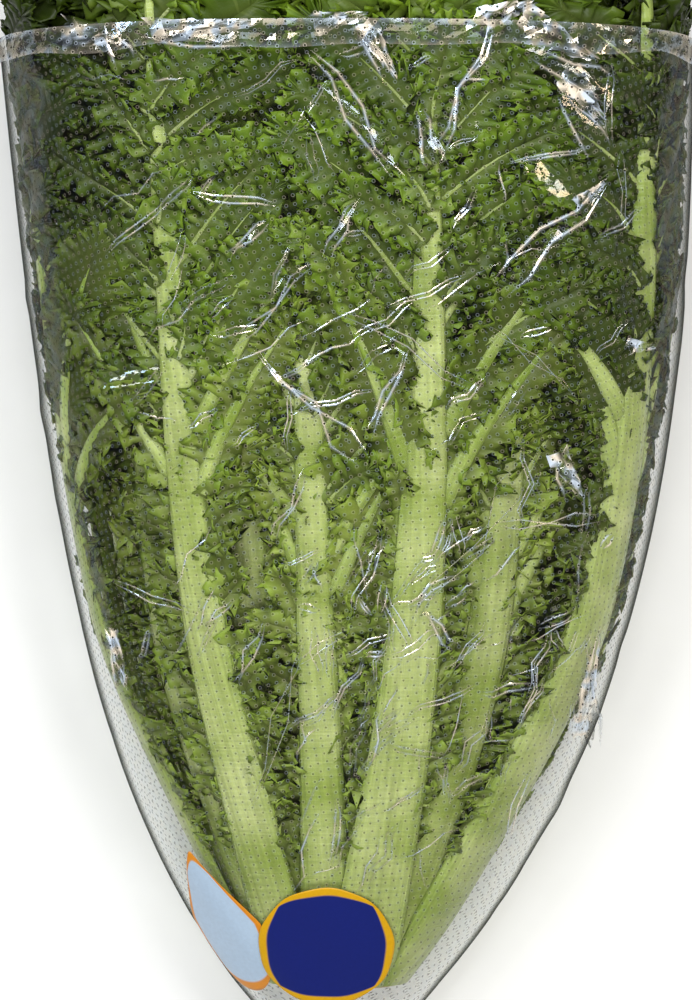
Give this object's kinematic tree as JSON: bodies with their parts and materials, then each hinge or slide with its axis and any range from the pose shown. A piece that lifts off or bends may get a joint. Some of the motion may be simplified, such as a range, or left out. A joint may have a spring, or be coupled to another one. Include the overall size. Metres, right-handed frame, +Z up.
{
  "type": "curly endive head",
  "caption": "Whole head of curly endive, with pale fleshy ribs and frilly toothed green blades, lying gathered in a clear perforated film sleeve with blank labels.",
  "frame": {"origin": "on the surface that the head lies on, under the middle of its bounding box", "axes": "+Y along the head from the cut butt to the leaf tips, +Z up, +X to the right when seen from above with the tips away"},
  "size_m": [0.2113, 0.3526, 0.113],
  "materials": {
    "leaf": "satin green leaf with pale ribs",
    "heart": "satin yellow-green inner leaf",
    "butt": "matte cut stem, slightly browned",
    "film": "clear glossy creased film",
    "round_label": "satin coated paper, blue with a yellow rim",
    "slim_label": "satin coated paper, pale with an orange rim"
  },
  "bodies": {
    "root": {"butt": "butt", "outer_leaf_1": "leaf", "outer_leaf_2": "leaf", "outer_leaf_3": "leaf", "outer_leaf_4": "leaf", "outer_leaf_5": "leaf", "outer_leaf_6": "leaf", "outer_leaf_7": "leaf", "outer_leaf_8": "leaf", "second_leaf_1": "leaf", "second_leaf_2": "leaf", "second_leaf_3": "leaf", "second_leaf_4": "leaf", "second_leaf_5": "leaf", "second_leaf_6": "leaf", "second_leaf_7": "leaf", "second_leaf_8": "leaf", "third_leaf_1": "leaf", "third_leaf_2": "leaf", "third_leaf_3": "leaf", "third_leaf_4": "leaf", "third_leaf_5": "leaf", "third_leaf_6": "leaf", "third_leaf_7": "leaf", "third_leaf_8": "leaf", "fourth_leaf_1": "leaf", "fourth_leaf_2": "leaf", "fourth_leaf_3": "leaf", "fourth_leaf_4": "leaf", "fourth_leaf_5": "leaf", "fourth_leaf_6": "leaf", "fourth_leaf_7": "leaf", "fourth_leaf_8": "leaf", "inner_leaf_1": "heart", "inner_leaf_2": "heart", "inner_leaf_3": "heart", "inner_leaf_4": "heart", "inner_leaf_5": "heart", "inner_leaf_6": "heart", "inner_leaf_7": "heart", "heart_leaf_1": "heart", "heart_leaf_2": "heart", "heart_leaf_3": "heart", "heart_leaf_4": "heart", "heart_leaf_5": "heart", "heart_leaf_6": "heart", "film_sleeve": "film", "round_label": "round_label", "slim_label": "slim_label"}
  },
  "joints": []
}
